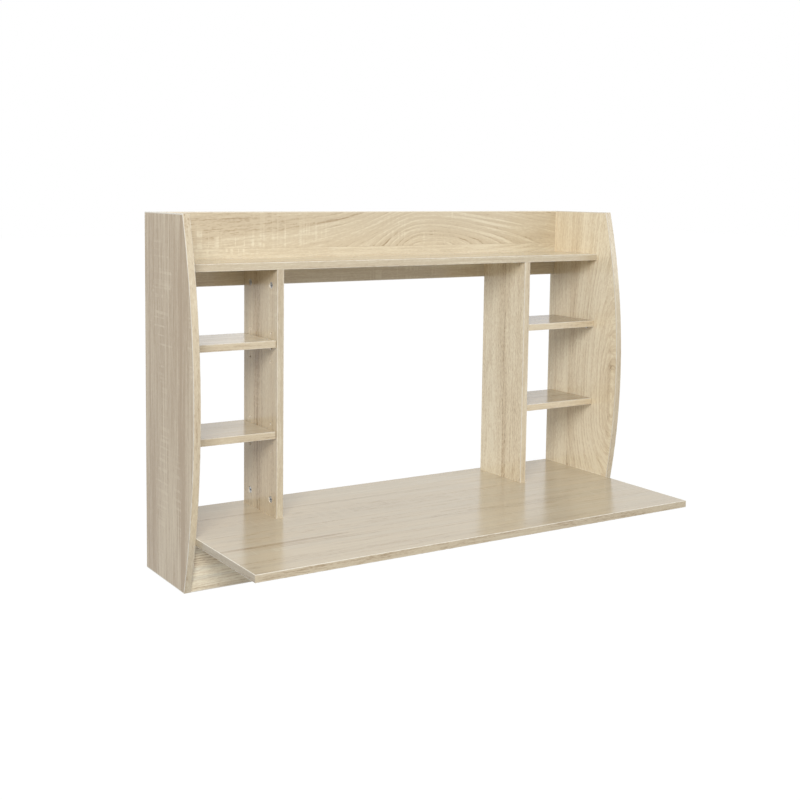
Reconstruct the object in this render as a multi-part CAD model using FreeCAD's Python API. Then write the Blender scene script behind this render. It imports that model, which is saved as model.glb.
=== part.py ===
import FreeCAD, Part
import math
import os

# A wall desk of laminated board: two bowed side panels, a top tray, two dividers with
# loose shelves beside them, and a deep desktop on an apron and a lower back rail.
#
# Axes: +X to the right, the wall is the plane Y = 0 and the front is -Y, +Z up.
# Heights below are counted from the underside of the side panels. The origin of the
# written parts is on the wall, at the middle of the top rail's back (ORIGIN_HEIGHT).

# Driving dimensions, millimetres
WIDTH = 1100.0            # over the side panels
HEIGHT = 750.0            # of the side panels
DESK_DEPTH = 480.0        # wall to front edge of the desktop
BOARD = 15.0              # laminated board
EDGING = 2.0              # edging strips
ARRIS = 0.8               # rounding of the strips' outer edges

SIDE_DEPTH_MIDDLE = 247.0
SIDE_DEPTH_ENDS = 196.0
RAIL_BOTTOM = 592.0       # lower edge of the top rail
TRAY_TOP = 650.0          # upper face of the top shelf
DESK_TOP = 116.0          # upper face of the desktop
BAY_DEPTH = 170.0         # wall to front of dividers and top shelf
DIVIDER_X = 322.5         # middle of each divider

SHELF_TOPS = (299.0, 489.0)
SHELF_DEPTH = 150.0
SHELF_BACK_GAP = 16.0     # wall to the back of a small shelf
SHELF_END_GAP = 1.5

HOLE_COLUMNS = (-44.5, -140.5)    # Y of the cams and of the peg holes
MIDDLE_COLUMN = -92.5             # Y of the dowels between them
DESK_FRONT_DOWEL = -205.0

PEG_PITCH = 30.0          # spare holes above and below the one in use
PEG_DROP = 2.5            # pin's axis below the shelf it carries
PEG_HOLE_R = 2.5
PEG_HOLE_DEPTH = 10.0
PEG_HOLE_LEAD = 0.5       # countersink at the hole's mouth
PEG_PIN_R = 2.4
PEG_COLLAR_R = 4.0
PEG_COLLAR = 1.0
PEG_PLAY = 0.5            # pin's end to the bottom of its hole
PEG_REACH = 10.0          # from the panel to the tip
PEG_WIDTH = 8.0
PEG_ROOT = 5.0            # height of the tongue at the collar
PEG_TIP = 1.8             # and at its tip

CAM_R = 7.4
CAM_HOLE_R = 7.5
CAM_HOLE_DEPTH = 12.5
CAM_HEIGHT = 11.0
CAM_INSET = 1.3           # cam's head below the board's face
CAM_DISTANCE = 34.0       # joint to the cam's centre
CAM_SLOT = (9.0, 1.6, 3.0)    # length, width and depth
RAIL_CAM_EDGE = 33.0      # edge of the top rail to its cams

BOLT_BORE_R = 4.0
BOLT_HOLE_R = 3.0
BOLT_HOLE_DEPTH = 11.0
BOLT_PROFILE = ((-10.0, 2.3), (-9.0, 2.9), (0.0, 2.9), (0.0, 3.8), (2.5, 3.8), (2.5, 3.0),
                (26.0, 3.0), (28.0, 1.9), (32.0, 1.9), (32.5, 3.2), (36.0, 3.2), (37.0, 2.2))
BOLT_WAY_R = 4.1          # way for the bolt's head in the cam
BOLT_WAY_LENGTH = 39.0

DOWEL_R = 3.9
DOWEL_HOLE_R = 4.0
DOWEL_SHORT = 10.0        # length in the panel's face
DOWEL_LONG = 20.0         # length in the board's end
DOWEL_PLAY = 0.5          # at each end of its hole
DOWEL_CHAMFER = 1.0
LOW_DOWEL_STEP = 28.0     # above and below the middle of the apron and lower rail
TRAY_DOWEL_X = (-430.0, -215.0, 0.0, 215.0, 430.0)
DESK_DOWEL_X = (-380.0, 0.0, 380.0)

HANGER_X = 430.0
HANGER_HEIGHT = 720.0
HANGER_PLATE = (60.0, 20.0, 1.5)      # length, height and thickness
HANGER_CORNER_R = 3.0
HANGER_PLAY = 0.1         # plate to the edge of its recess
HANGER_EYE_R = 5.0
HANGER_SLOT_R = 2.5
HANGER_RISE = 9.0         # eye to the top of the slot
HANGER_POCKET = (14.0, 19.4, 8.0)     # width, height and depth, all of it behind the plate
HANGER_SCREW_X = 22.0
SCREW_R = 1.6
SCREW_HOLE_R = 1.7
SCREW_HEAD_R = 3.2
SCREW_HEAD_PLAY = 0.1
SCREW_LENGTH = 10.0
SCREW_POINT = (2.0, 0.3)  # length of the point and radius of its end
SCREW_SLOT = (3.4, 0.7, 0.9)          # length, width and depth

WALL_HOLE_X = 400.0
WALL_HOLE_R = 2.5

# Derived places
INSIDE = WIDTH / 2 - BOARD
DIVIDER_OUT = DIVIDER_X + BOARD / 2
RAIL_MIDDLE = (RAIL_BOTTOM + HEIGHT) / 2
ORIGIN_HEIGHT = RAIL_MIDDLE
TRAY_UNDER = TRAY_TOP - BOARD
DESK_UNDER = DESK_TOP - BOARD
APRON_FRONT = -SIDE_DEPTH_ENDS
APRON_MIDDLE = APRON_FRONT + BOARD / 2
BACK_MIDDLE = -BOARD / 2
BOW = SIDE_DEPTH_MIDDLE - SIDE_DEPTH_ENDS
BOW_R = ((HEIGHT / 2) ** 2 + BOW ** 2) / (2 * BOW)
BOW_Y = BOW_R - SIDE_DEPTH_MIDDLE
OVER = 1.0                # how far a cutting shape runs past the board
TOUCH = 1e-3

X = FreeCAD.Vector(1, 0, 0)
Y = FreeCAD.Vector(0, 1, 0)
Z = FreeCAD.Vector(0, 0, 1)


def vec(x, y, z):
    return FreeCAD.Vector(x, y, z)


def box(x, y, z):
    """A block between two values on each axis."""
    low = vec(min(x), min(y), min(z))
    high = vec(max(x), max(y), max(z))
    size = high - low
    return Part.makeBox(size.x, size.y, size.z, low)


def turned(profile, start, axis):
    """A solid of revolution: pairs of distance along the axis and radius."""
    side = vec(axis.y, axis.z, axis.x)
    points = [start + axis * distance + side * radius for distance, radius in profile]
    ends = [start + axis * profile[-1][0], start + axis * profile[0][0]]
    outline = Part.makePolygon(points + ends + points[:1])
    return Part.Face(outline).revolve(start, axis, 360)


def near(a, b):
    return abs(a - b) < TOUCH


def soften(shape, on_arris):
    """Rounds the long edges whose two ends both pass the test."""
    edges = [e for e in shape.Edges
             if e.Length > 2 * BOARD and all(on_arris(v.Point) for v in e.Vertexes)]
    return shape.makeFillet(ARRIS, edges)


# Fittings: each returns the solids it adds and the holes it needs

def cam_fitting(joint, into, face):
    """Cam lock and bolt. The board lies along into, the cam goes in from the side face."""
    seat = joint + into * CAM_DISTANCE + face * (BOARD / 2)
    hole = Part.makeCylinder(CAM_HOLE_R, CAM_HOLE_DEPTH, seat, -face)
    bore = Part.makeCylinder(BOLT_BORE_R, CAM_DISTANCE, joint, into)
    thread = Part.makeCylinder(BOLT_HOLE_R, BOLT_HOLE_DEPTH, joint, -into)
    head = seat - face * CAM_INSET
    cam = Part.makeCylinder(CAM_R, CAM_HEIGHT, head, -face)
    reach, width, depth = CAM_SLOT
    across = into.cross(face)
    for along, sideways in ((into, across), (across, into)):
        corner = head - along * (reach / 2) - sideways * (width / 2)
        ends = [corner, corner + along * reach + sideways * width - face * depth]
        cam = cam.cut(box(*zip(*[(p.x, p.y, p.z) for p in ends])))
    way = Part.makeCylinder(BOLT_WAY_R, BOLT_WAY_LENGTH, joint, into)
    return cam.cut(way), turned(BOLT_PROFILE, joint, into), [hole, bore, thread]


def dowel_fitting(joint, into):
    """Wooden dowel, with its longer part in the end of the board that lies along into."""
    start = joint - into * DOWEL_SHORT
    length = DOWEL_SHORT + DOWEL_LONG
    profile = ((0, DOWEL_R - DOWEL_CHAMFER), (DOWEL_CHAMFER, DOWEL_R),
               (length - DOWEL_CHAMFER, DOWEL_R), (length, DOWEL_R - DOWEL_CHAMFER))
    hole = Part.makeCylinder(DOWEL_HOLE_R, length + 2 * DOWEL_PLAY, start - into * DOWEL_PLAY, into)
    return turned(profile, start, into), hole


def peg(x, y, under, inward):
    """Shelf peg with its tongue's flat top against the shelf's underside."""
    way = X * inward
    root = vec(x, y, under - PEG_DROP)
    buried = PEG_HOLE_DEPTH - PEG_PLAY
    pin = Part.makeCylinder(PEG_PIN_R, buried + PEG_COLLAR, root - way * buried, way)
    collar = Part.makeCylinder(PEG_COLLAR_R, PEG_COLLAR, root, way)
    above = box((x - 2 * PEG_COLLAR, x + 2 * PEG_COLLAR),
                (y - PEG_WIDTH, y + PEG_WIDTH), (under, under + PEG_WIDTH))
    side = y - PEG_WIDTH / 2
    start = x + inward * PEG_COLLAR / 2
    tip = x + inward * PEG_REACH
    tongue = Part.Face(Part.makePolygon([
        vec(start, side, under), vec(tip, side, under), vec(tip, side, under - PEG_TIP),
        vec(start, side, under - PEG_ROOT), vec(start, side, under)])).extrude(Y * PEG_WIDTH)
    return pin.fuse(collar.cut(above)).fuse(tongue).removeSplitter()


def peg_holes(x, y, under, outward, spare):
    """The hole in use under a shelf and, on the dividers, one above and one below it."""
    steps = (-1, 0, 1) if spare else (0,)
    profile = ((-OVER, PEG_HOLE_R + PEG_HOLE_LEAD + OVER), (PEG_HOLE_LEAD, PEG_HOLE_R),
               (PEG_HOLE_DEPTH, PEG_HOLE_R))
    return [turned(profile, vec(x, y, under - PEG_DROP + step * PEG_PITCH), X * outward)
            for step in steps]


cams, bolts, dowels, pegs, holes = [], [], [], [], []


def add_cam(joint, into, face):
    cam, bolt, cuts = cam_fitting(joint, into, face)
    cams.append(cam)
    bolts.append(bolt)
    holes.extend(cuts)


def add_dowel(joint, into):
    dowel, hole = dowel_fitting(joint, into)
    dowels.append(dowel)
    holes.append(hole)


def place_fittings():
    for side in (-1, 1):
        inward = X * -side
        wall = side * INSIDE
        for y in HOLE_COLUMNS:
            add_cam(vec(side * DIVIDER_X, y, TRAY_UNDER), -Z, X * side)
            add_cam(vec(side * DIVIDER_X, y, DESK_TOP), Z, X * side)
            add_cam(vec(wall, y, TRAY_UNDER + BOARD / 2), inward, -Z)
            add_cam(vec(wall, y, DESK_UNDER + BOARD / 2), inward, -Z)
        for z in (RAIL_BOTTOM + RAIL_CAM_EDGE, HEIGHT - RAIL_CAM_EDGE):
            add_cam(vec(wall, BACK_MIDDLE, z), inward, Y)
        add_cam(vec(wall, APRON_MIDDLE, DESK_UNDER / 2), inward, Y)
        add_cam(vec(wall, BACK_MIDDLE, DESK_UNDER / 2), inward, -Y)

        add_dowel(vec(side * DIVIDER_X, MIDDLE_COLUMN, TRAY_UNDER), -Z)
        add_dowel(vec(side * DIVIDER_X, MIDDLE_COLUMN, DESK_TOP), Z)
        add_dowel(vec(wall, MIDDLE_COLUMN, TRAY_UNDER + BOARD / 2), inward)
        for y in (MIDDLE_COLUMN, DESK_FRONT_DOWEL):
            add_dowel(vec(wall, y, DESK_UNDER + BOARD / 2), inward)
        add_dowel(vec(wall, BACK_MIDDLE, RAIL_MIDDLE), inward)
        for z in (DESK_UNDER / 2 - LOW_DOWEL_STEP, DESK_UNDER / 2 + LOW_DOWEL_STEP):
            for y in (BACK_MIDDLE, APRON_MIDDLE):
                add_dowel(vec(wall, y, z), inward)
    for x in TRAY_DOWEL_X:
        add_dowel(vec(x, -BOARD, TRAY_UNDER + BOARD / 2), -Y)
    for x in DESK_DOWEL_X:
        for y in (BACK_MIDDLE, APRON_MIDDLE):
            add_dowel(vec(x, y, DESK_UNDER), -Z)


def place_pegs():
    for side in (-1, 1):
        for top in SHELF_TOPS:
            under = top - BOARD
            for y in HOLE_COLUMNS:
                pegs.append(peg(side * INSIDE, y, under, -side))
                pegs.append(peg(side * DIVIDER_OUT, y, under, side))
                holes.extend(peg_holes(side * INSIDE, y, under, side, False))
                holes.extend(peg_holes(side * DIVIDER_OUT, y, under, -side, True))


def drilled(shape):
    """The board less every hole of the fittings that reaches it."""
    touching = [h for h in holes if h.BoundBox.intersect(shape.BoundBox)]
    return shape.cut(touching) if touching else shape


# Boards and their edging strips

def bow_face(radius, side_x):
    """Outline of a side panel up to an arc of the given radius."""
    reach = BOW_Y - math.sqrt(radius ** 2 - (HEIGHT / 2) ** 2)
    top = vec(side_x, reach, HEIGHT)
    bottom = vec(side_x, reach, 0)
    front = vec(side_x, BOW_Y - radius, HEIGHT / 2)
    wire = Part.Wire([
        Part.LineSegment(vec(side_x, 0, HEIGHT), top).toShape(),
        Part.Arc(top, front, bottom).toShape(),
        Part.LineSegment(bottom, vec(side_x, 0, 0)).toShape(),
        Part.LineSegment(vec(side_x, 0, 0), vec(side_x, 0, HEIGHT)).toShape()])
    return Part.Face(wire)


def side_panel(side):
    """Core and three edging strips of one side panel."""
    low = min(side * INSIDE, side * WIDTH / 2)
    whole = bow_face(BOW_R, low).extrude(X * BOARD)
    inner = bow_face(BOW_R - EDGING, low).extrude(X * BOARD)
    across = (low - OVER, low + BOARD + OVER)
    deep = (-DESK_DEPTH, OVER)
    core = inner.common(box(across, deep, (EDGING, HEIGHT - EDGING)))
    front = soften(whole.cut(inner),
                   lambda p: near(math.hypot(p.y - BOW_Y, p.z - HEIGHT / 2), BOW_R))
    top = soften(inner.common(box(across, deep, (HEIGHT - EDGING, HEIGHT))),
                 lambda p: near(p.z, HEIGHT))
    bottom = soften(inner.common(box(across, deep, (0, EDGING))), lambda p: near(p.z, 0))
    return core, front, top, bottom


def front_strip(x, y, z):
    """Edging strip on a board's front."""
    face = min(y)
    return soften(box(x, y, z), lambda p: near(p.y, face))


def level_strip(x, y, edge, inner):
    """Edging strip on an upright board's upper or lower edge."""
    return soften(box(x, y, (edge, inner)), lambda p: near(p.z, edge))


def hanger_holes(x):
    """Recess, head pocket and screw holes for one hanger plate."""
    length, height, thick = HANGER_PLATE
    wide, tall, deep = HANGER_POCKET
    cuts = [box((x - length / 2, x + length / 2), (-thick, OVER),
                (HANGER_HEIGHT - height / 2, HANGER_HEIGHT + height / 2))]
    cuts.append(box((x - wide / 2, x + wide / 2), (-thick - deep, 0),
                    (HANGER_HEIGHT - tall / 2, HANGER_HEIGHT + tall / 2)))
    for step in (-HANGER_SCREW_X, HANGER_SCREW_X):
        cuts.append(Part.makeCylinder(SCREW_HOLE_R, SCREW_LENGTH + OVER,
                                      vec(x + step, 0, HANGER_HEIGHT), -Y))
    return cuts


def hanger(x):
    """Steel plate with a keyhole and two countersunk screw holes."""
    length, height, thick = HANGER_PLATE
    half = length / 2 - HANGER_PLAY
    rise = height / 2 - HANGER_PLAY
    plate = box((x - half, x + half), (-thick, 0), (HANGER_HEIGHT - rise, HANGER_HEIGHT + rise))
    corners = [e for e in plate.Edges if near(e.Vertexes[0].Z, e.Vertexes[1].Z)
               and near(e.Vertexes[0].X, e.Vertexes[1].X)]
    plate = plate.makeFillet(HANGER_CORNER_R, corners)
    eye = vec(x, 0, HANGER_HEIGHT - HANGER_RISE / 2)
    top = eye + Z * HANGER_RISE
    cuts = [Part.makeCylinder(HANGER_EYE_R, thick, eye, -Y),
            Part.makeCylinder(HANGER_SLOT_R, thick, top, -Y),
            box((x - HANGER_SLOT_R, x + HANGER_SLOT_R), (-thick, 0), (eye.z, top.z))]
    for step in (-HANGER_SCREW_X, HANGER_SCREW_X):
        cuts.append(Part.makeCone(SCREW_HEAD_R + SCREW_HEAD_PLAY, SCREW_HOLE_R, thick,
                                  vec(x + step, 0, HANGER_HEIGHT), -Y))
    return plate.cut(cuts)


def hanger_screw(x):
    """Countersunk screw with a cross slot, flush with its plate."""
    point, end = SCREW_POINT
    profile = ((0, SCREW_HEAD_R), (HANGER_PLATE[2], SCREW_R),
               (SCREW_LENGTH - point, SCREW_R), (SCREW_LENGTH, end))
    screw = turned(profile, vec(x, 0, HANGER_HEIGHT), -Y)
    reach, width, depth = SCREW_SLOT
    for wide, tall in ((reach, width), (width, reach)):
        screw = screw.cut(box((x - wide / 2, x + wide / 2), (-depth, OVER),
                              (HANGER_HEIGHT - tall / 2, HANGER_HEIGHT + tall / 2)))
    return screw


def top_rail():
    across = (-INSIDE, INSIDE)
    deep = (-BOARD, 0)
    body = drilled(box(across, deep, (RAIL_BOTTOM + EDGING, HEIGHT - EDGING)))
    body = body.cut([cut for side in (-1, 1) for cut in hanger_holes(side * HANGER_X)])
    top = level_strip(across, deep, HEIGHT, HEIGHT - EDGING)
    bottom = level_strip(across, deep, RAIL_BOTTOM, RAIL_BOTTOM + EDGING)
    return body, top, bottom


def top_shelf():
    across = (-INSIDE, INSIDE)
    upright = (TRAY_UNDER, TRAY_TOP)
    body = drilled(box(across, (-BAY_DEPTH + EDGING, -BOARD), upright))
    return body, front_strip(across, (-BAY_DEPTH, -BAY_DEPTH + EDGING), upright)


def divider(side):
    across = (side * DIVIDER_X - BOARD / 2, side * DIVIDER_X + BOARD / 2)
    upright = (DESK_TOP, TRAY_UNDER)
    body = drilled(box(across, (-BAY_DEPTH + EDGING, -BOARD), upright))
    return body, front_strip(across, (-BAY_DEPTH, -BAY_DEPTH + EDGING), upright)


def desktop():
    """Core, front strip and two end strips."""
    upright = (DESK_UNDER, DESK_TOP)
    deep = (-DESK_DEPTH + EDGING, 0)
    body = drilled(box((-INSIDE + EDGING, INSIDE - EDGING), deep, upright))
    front = front_strip((-INSIDE, INSIDE), (-DESK_DEPTH, -DESK_DEPTH + EDGING), upright)
    ends = [soften(box((side * INSIDE, side * (INSIDE - EDGING)), deep, upright),
                   lambda p: near(abs(p.x), INSIDE)) for side in (-1, 1)]
    return body, front, [drilled(end) for end in ends]


def apron():
    across = (-INSIDE, INSIDE)
    deep = (APRON_FRONT, APRON_FRONT + BOARD)
    body = drilled(box(across, deep, (EDGING, DESK_UNDER)))
    return body, level_strip(across, deep, 0, EDGING)


def lower_rail():
    across = (-INSIDE, INSIDE)
    deep = (-BOARD, 0)
    body = drilled(box(across, deep, (EDGING, DESK_UNDER)))
    screws = [Part.makeCylinder(WALL_HOLE_R, BOARD, vec(side * WALL_HOLE_X, 0, DESK_UNDER / 2), -Y)
              for side in (-1, 1)]
    return body.cut(screws), level_strip(across, deep, 0, EDGING)


def small_shelf(side, top):
    across = (side * (DIVIDER_OUT + SHELF_END_GAP), side * (INSIDE - SHELF_END_GAP))
    upright = (top - BOARD, top)
    front = -SHELF_BACK_GAP - SHELF_DEPTH
    body = box(across, (front + EDGING, -SHELF_BACK_GAP), upright)
    return body, front_strip(across, (front, front + EDGING), upright)


def save(node, *solids):
    shape = solids[0] if len(solids) == 1 else Part.makeCompound(list(solids))
    shape = shape.copy()
    shape.translate(Z * -ORIGIN_HEIGHT)
    if not shape.isValid():
        raise ValueError(node + " is not a valid shape")
    shape.exportStep("parts/" + node + ".step")
    print(node, len(shape.Solids), round(shape.Volume / 1000, 1), "cm3")


def main():
    os.makedirs("parts", exist_ok=True)
    place_fittings()
    place_pegs()

    for name, side in (("left", -1), ("right", 1)):
        core, front, top, bottom = side_panel(side)
        save(name + "_side_panel", drilled(core))
        save(name + "_side_front_edging", front)
        save(name + "_side_top_edging", top)
        save(name + "_side_bottom_edging", bottom)
        board, strip = divider(side)
        save(name + "_divider", board)
        save(name + "_divider_edging", strip)
        for level, top_height in zip(("lower", "upper"), SHELF_TOPS):
            board, strip = small_shelf(side, top_height)
            save(name + "_" + level + "_shelf", board)
            save(name + "_" + level + "_shelf_edging", strip)

    board, top, bottom = top_rail()
    save("top_back_rail", board)
    save("top_back_rail_upper_edging", top)
    save("top_back_rail_lower_edging", bottom)
    board, strip = top_shelf()
    save("top_shelf", board)
    save("top_shelf_edging", strip)
    board, front, ends = desktop()
    save("desktop", board)
    save("desktop_front_edging", front)
    save("desktop_left_edging", ends[0])
    save("desktop_right_edging", ends[1])
    board, strip = apron()
    save("front_apron", board)
    save("front_apron_edging", strip)
    board, strip = lower_rail()
    save("lower_back_rail", board)
    save("lower_back_rail_edging", strip)

    save("cam_locks", *cams)
    save("cam_bolts", *bolts)
    save("wooden_dowels", *dowels)
    save("shelf_pegs", *pegs)
    save("keyhole_hangers", *[hanger(side * HANGER_X) for side in (-1, 1)])
    save("hanger_screws", *[hanger_screw(side * HANGER_X + step) for side in (-1, 1)
                            for step in (-HANGER_SCREW_X, HANGER_SCREW_X)])


main()
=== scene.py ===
"""Finishes, light and camera of a wall desk made of printed oak board."""

import math

import bpy
from mathutils import Matrix, Vector


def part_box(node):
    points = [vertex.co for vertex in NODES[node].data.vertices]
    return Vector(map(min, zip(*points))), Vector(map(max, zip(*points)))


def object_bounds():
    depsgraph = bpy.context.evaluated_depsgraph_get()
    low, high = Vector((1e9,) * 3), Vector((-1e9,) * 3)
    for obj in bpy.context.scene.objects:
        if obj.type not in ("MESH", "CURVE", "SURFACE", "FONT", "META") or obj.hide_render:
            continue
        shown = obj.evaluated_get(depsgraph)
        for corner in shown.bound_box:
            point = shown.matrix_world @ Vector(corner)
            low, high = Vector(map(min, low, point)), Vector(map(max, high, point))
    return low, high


bl_info = {
    "name": "Wall Desk",
    "version": (1, 0, 0),
    "blender": (4, 5, 0),
    "location": "3D View > Sidebar > Wall Desk",
    "description": "Gives the boards, edging and fittings of a wall desk their finish",
    "category": "Object",
}

# The frame: X to the right, Y into the wall, Z up, in metres, with the origin on the wall
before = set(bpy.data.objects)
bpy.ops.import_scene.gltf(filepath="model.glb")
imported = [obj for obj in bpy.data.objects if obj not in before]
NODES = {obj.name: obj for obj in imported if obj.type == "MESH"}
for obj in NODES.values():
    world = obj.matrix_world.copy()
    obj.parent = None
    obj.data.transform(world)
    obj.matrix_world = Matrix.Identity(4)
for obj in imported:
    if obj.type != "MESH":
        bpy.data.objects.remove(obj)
CAD_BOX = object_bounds()
UNDERSIDE = CAD_BOX[0].z

# Which object axis runs along the grain, across it and out through the printed face
UPRIGHT_SIDE = ("z", "y", "x")      # side panels and dividers
UPRIGHT_FRONT = ("x", "z", "y")     # rails, the apron and the front edges of level boards
LEVEL = ("x", "y", "z")             # level boards and the top and bottom edges of rails
LEVEL_SIDE = ("y", "x", "z")        # top and bottom edges of the side panels
UPRIGHT_EDGE = ("z", "x", "y")      # front edges of the upright boards
SIDE_EDGE = ("y", "z", "x")         # left and right edges of the desktop


# ---------------------------------------------------------------- settings

def colour(name, description, value):
    return bpy.props.FloatVectorProperty(
        name=name, description=description, subtype="COLOR", size=3, min=0, max=1, default=value)


def length(name, description, value):
    return bpy.props.FloatProperty(
        name=name, description=description, unit="LENGTH", subtype="DISTANCE", min=0, default=value)


def amount(name, description, value, top=1.0):
    return bpy.props.FloatProperty(name=name, description=description, min=0, max=top, default=value)


class OakSettings(bpy.types.PropertyGroup):
    pale: colour("Pale oak", "Colour of the lightest fibres", (0.80, 0.72, 0.55))
    middle: colour("Oak", "Colour between the streaks", (0.66, 0.56, 0.40))
    brown: colour("Brown oak", "Colour of the darkest streaks", (0.42, 0.31, 0.19))
    weathered: colour("Weathered oak", "Tint of greyed fibres", (0.90, 0.94, 1.0))
    plank: length("Plank width", "Width of one plank in the printed decor", 0.135)
    ring: length("Ring pitch", "Distance between growth rings", 0.0052)
    gloss: amount("Roughness", "Roughness of the laminate", 0.19)
    emboss: length("Emboss", "Depth of the pores pressed into the laminate", 0.00002)
    # Strip core and trim draw a pale line along strip edges: partly trimmed core, partly a painted
    # highlight
    core: colour("Strip core", "Colour of the strips where they are trimmed", (0.86, 0.80, 0.68))
    trim: length("Trim", "Width of the pale line along a strip's edges", 0.0009)
    # Both chip colours are paler than raw chipboard: painted light on the walls of the peg holes and cam
    # bores
    pale_chips_and_painted_light: colour("Pale chips", "Lightest chips of the board's core", (0.95, 0.89, 0.78))
    dark_chips_and_painted_light: colour("Dark chips", "Darkest chips of the board's core", (0.78, 0.68, 0.52))


class FittingSettings(bpy.types.PropertyGroup):
    zinc: colour("Zinc", "Cam locks and bolts", (0.60, 0.61, 0.62))
    nickel: colour("Nickel", "Shelf pegs", (0.50, 0.48, 0.45))
    steel: colour("Hanger steel", "Hangers and their screws", (0.60, 0.62, 0.64))
    beech: colour("Beech", "Dowels", (0.60, 0.38, 0.20))


class StageSettings(bpy.types.PropertyGroup):
    floor_drop: length("Floor", "How far the desk hangs above the floor", 0.634)
    floor: colour("Floor colour", "Colour of the floor", (0.45, 0.45, 0.45))
    sky: amount("Surround", "Brightness of the surround on the desk", 0.45)
    key: amount("Key light", "Watts of the large lamp at the front left", 64.0, 1000.0)
    fill: amount("Fill light", "Watts of the lamp at the front right", 10.0, 1000.0)


# ---------------------------------------------------------------- node trees

class Net:
    """Adds nodes to a tree. An input may be a number, a colour or another node's output."""

    def __init__(self, tree):
        self.tree = tree

    def add(self, kind, inputs=(), **settings):
        node = self.tree.nodes.new(kind)
        for name, value in settings.items():
            setattr(node, name, value)
        for key, value in dict(inputs).items():
            self.put(node.inputs[key], value)
        return node

    def put(self, socket, value):
        if isinstance(value, bpy.types.NodeSocket):
            self.tree.links.new(value, socket)
        else:
            socket.default_value = value

    def math(self, operation, *values):
        node = self.add("ShaderNodeMath", enumerate(values), operation=operation)
        return node.outputs[0]

    def sum(self, first, *others):
        for value in others:
            first = self.math("ADD", first, value)
        return first

    def product(self, first, *others):
        for value in others:
            first = self.math("MULTIPLY", first, value)
        return first

    def less(self, a, b):
        """a less b."""
        return self.math("SUBTRACT", a, b)

    def ratio(self, a, b):
        return self.math("DIVIDE", a, b)

    def hypotenuse(self, a, b):
        return self.math("SQRT", self.sum(self.product(a, a), self.product(b, b)))

    def step(self, value, low, high, start=0.0, end=1.0):
        """Smooth step from start to end while value goes from low to high."""
        inputs = {"Value": value, "From Min": low, "From Max": high, "To Min": start, "To Max": end}
        node = self.add("ShaderNodeMapRange", inputs, interpolation_type="SMOOTHSTEP", clamp=True)
        return node.outputs["Result"]

    def between(self, factor, a, b):
        """Number between a and b."""
        return self.add("ShaderNodeMix", {0: factor, 2: a, 3: b}, clamp_factor=True).outputs[0]

    def blend(self, factor, a, b, mode="MIX"):
        """Colour between a and b."""
        node = self.add("ShaderNodeMix", {0: factor, 6: a, 7: b}, data_type="RGBA", blend_type=mode,
                        clamp_factor=True)
        return node.outputs[2]

    def join(self, x, y, z):
        return self.add("ShaderNodeCombineXYZ", enumerate((x, y, z))).outputs[0]

    def split(self, vector):
        return self.add("ShaderNodeSeparateXYZ", {0: vector}).outputs[:3]

    def stretched(self, vector, scale, shift):
        """A vector times a scale, moved by a shift."""
        inputs = {0: vector, 1: scale, 2: shift}
        return self.add("ShaderNodeVectorMath", inputs, operation="MULTIPLY_ADD").outputs[0]

    def noise(self, vector, scale=1.0, detail=2.0, rough=0.5):
        inputs = {"Vector": vector, "Scale": scale, "Detail": detail, "Roughness": rough}
        return self.add("ShaderNodeTexNoise", inputs).outputs[0]


WHITE = (1.0, 1.0, 1.0, 1.0)
NO_VECTOR = (0.0, 0.0, 0.0)


def socket_type(default):
    """Kind of group socket that holds a number, a vector or a colour."""
    if isinstance(default, float):
        return "NodeSocketFloat"
    return "NodeSocketColor" if default == WHITE else "NodeSocketVector"


def new_group(name, sockets_in, sockets_out):
    """Net of a new node group, its inputs by name and its outputs by name."""
    group = bpy.data.node_groups.new(name, "ShaderNodeTree")
    for in_out, sockets in (("INPUT", sockets_in), ("OUTPUT", sockets_out)):
        for socket, default in sockets.items():
            made = group.interface.new_socket(name=socket, in_out=in_out,
                                              socket_type=socket_type(default))
            made.default_value = default
    net = Net(group)
    inlet = net.add("NodeGroupInput")
    outlet = net.add("NodeGroupOutput")
    return net, inlet.outputs, outlet.inputs


def place_group(net, name, build, inputs):
    """Outputs of the named group, which is built when the first material asks for it."""
    tree = bpy.data.node_groups.get(name) or build(name)
    return net.add("ShaderNodeGroup", inputs, node_tree=tree).outputs


# ---------------------------------------------------------------- printed oak

# What a board can set. Places and lengths are metres along the grain and across it
OAK_INPUTS = {
    "Vector": NO_VECTOR, "Seed": 0.0,
    # Planks: their width, one joint's place, how far it slants, and shade along one joint
    "Plank": 0.13, "Joint": 0.0, "Skew": 0.0, "Joint shade": 0.0,
    # The log's heart: where it is nearest to the face and how deep, how fast it sinks, how far it
    # turns aside and over what length. Ring is the rings' pitch and Figure their strength, and
    # Follow bends the fibres with them
    "Heart along": 0.0, "Heart across": 0.0, "Heart depth": 0.03, "Slope": 0.15, "Droop": 0.0,
    "Reach": 0.4, "Ring": 0.005, "Figure": 1.0, "Follow": 0.0,
    # How strong the fibres and the smallest flecks are
    "Streaks": 1.0, "Flecks": 1.0,
    # One brown stain
    "Stain along": 0.0, "Stain across": 0.0, "Stain length": 0.2, "Stain width": 0.015, "Stain": 0.0,
    # One dense patch of saw marks
    "Saw along": 0.0, "Saw across": 0.0, "Saw length": 0.08, "Saw width": 0.03, "Saw marks": 1.0,
    # The board's tone, what its other planks add to it, its greyed fibres, its lightness and colours
    # On some boards the tone and lightness also carry painted light and shade, and the grey a painted
    # reflection
    "Tone": 0.0, "Other planks": 0.0, "Grey": 0.0, "Lightness": 1.0,
    "Pale": WHITE, "Middle": WHITE, "Brown": WHITE, "Weathered": WHITE,
}
OAK_OUTPUTS = {"Color": WHITE, "Pores": 0.0, "Haze": 0.0}

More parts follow.
